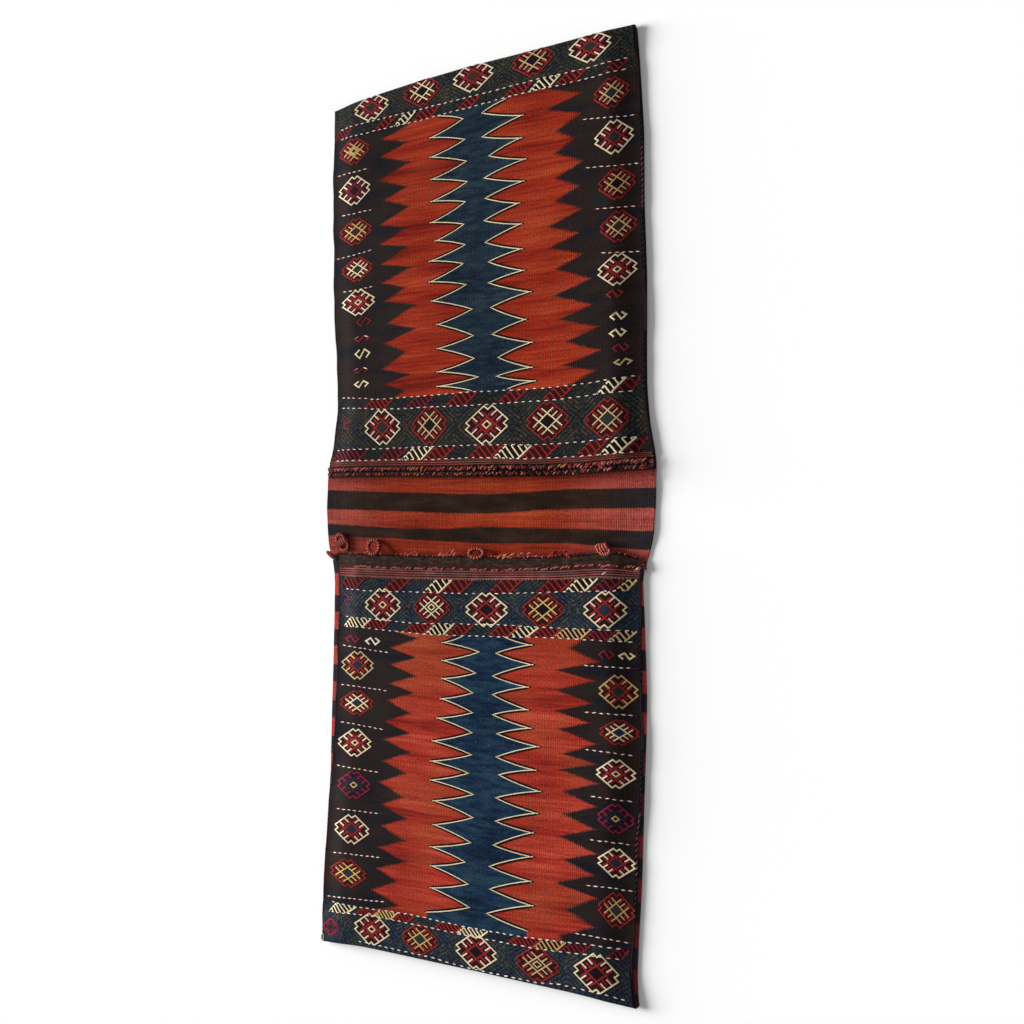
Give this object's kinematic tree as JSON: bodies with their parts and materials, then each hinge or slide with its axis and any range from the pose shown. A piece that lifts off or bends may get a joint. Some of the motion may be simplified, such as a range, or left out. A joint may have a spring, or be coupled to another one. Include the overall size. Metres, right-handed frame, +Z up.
{
  "type": "kilim saddle bag",
  "caption": "Flat-woven wool saddle bag folded from one strip: two open pouches joined by a striped bridge, with corded sides and yarn loops.",
  "frame": {"origin": "middle of the underside, on the floor, where the bag lies flat on its back", "axes": "+X across the bag to the right, +Y along it from the lower pouch to the upper pouch, +Z up out of the decorated face"},
  "size_m": [0.56, 1.3134, 0.0235],
  "materials": {
    "woven_wool": "matte flat weave in red, navy, cream and brown wool",
    "selvedge_wool": "matte dark wrapped cord",
    "plait_wool": "matte plaited yarn in orange, pink and brown",
    "edge_wool": "matte twisted yarn in orange, pink and ochre",
    "overcast_wool": "matte pink slanting stitches",
    "loop_wool": "matte plaited yarn loops"
  },
  "bodies": {
    "root": {"woven_cloth": "woven_wool", "side_seam_upper_left": "selvedge_wool", "side_seam_upper_right": "selvedge_wool", "side_seam_lower_left": "selvedge_wool", "side_seam_lower_right": "selvedge_wool", "upper_mouth_plait_1": "plait_wool", "upper_mouth_plait_2": "plait_wool", "lower_mouth_edge_cord": "edge_wool", "lower_mouth_overcast_row": "overcast_wool", "closing_loop_1": "loop_wool", "closing_loop_2": "loop_wool", "closing_loop_3": "loop_wool", "closing_loop_4": "loop_wool", "edge_tuft_1": "edge_wool", "edge_tuft_2": "edge_wool", "edge_tuft_3": "edge_wool", "edge_tuft_4": "edge_wool", "edge_tuft_5": "edge_wool", "side_knot": "loop_wool", "corner_loop": "loop_wool"}
  },
  "joints": []
}
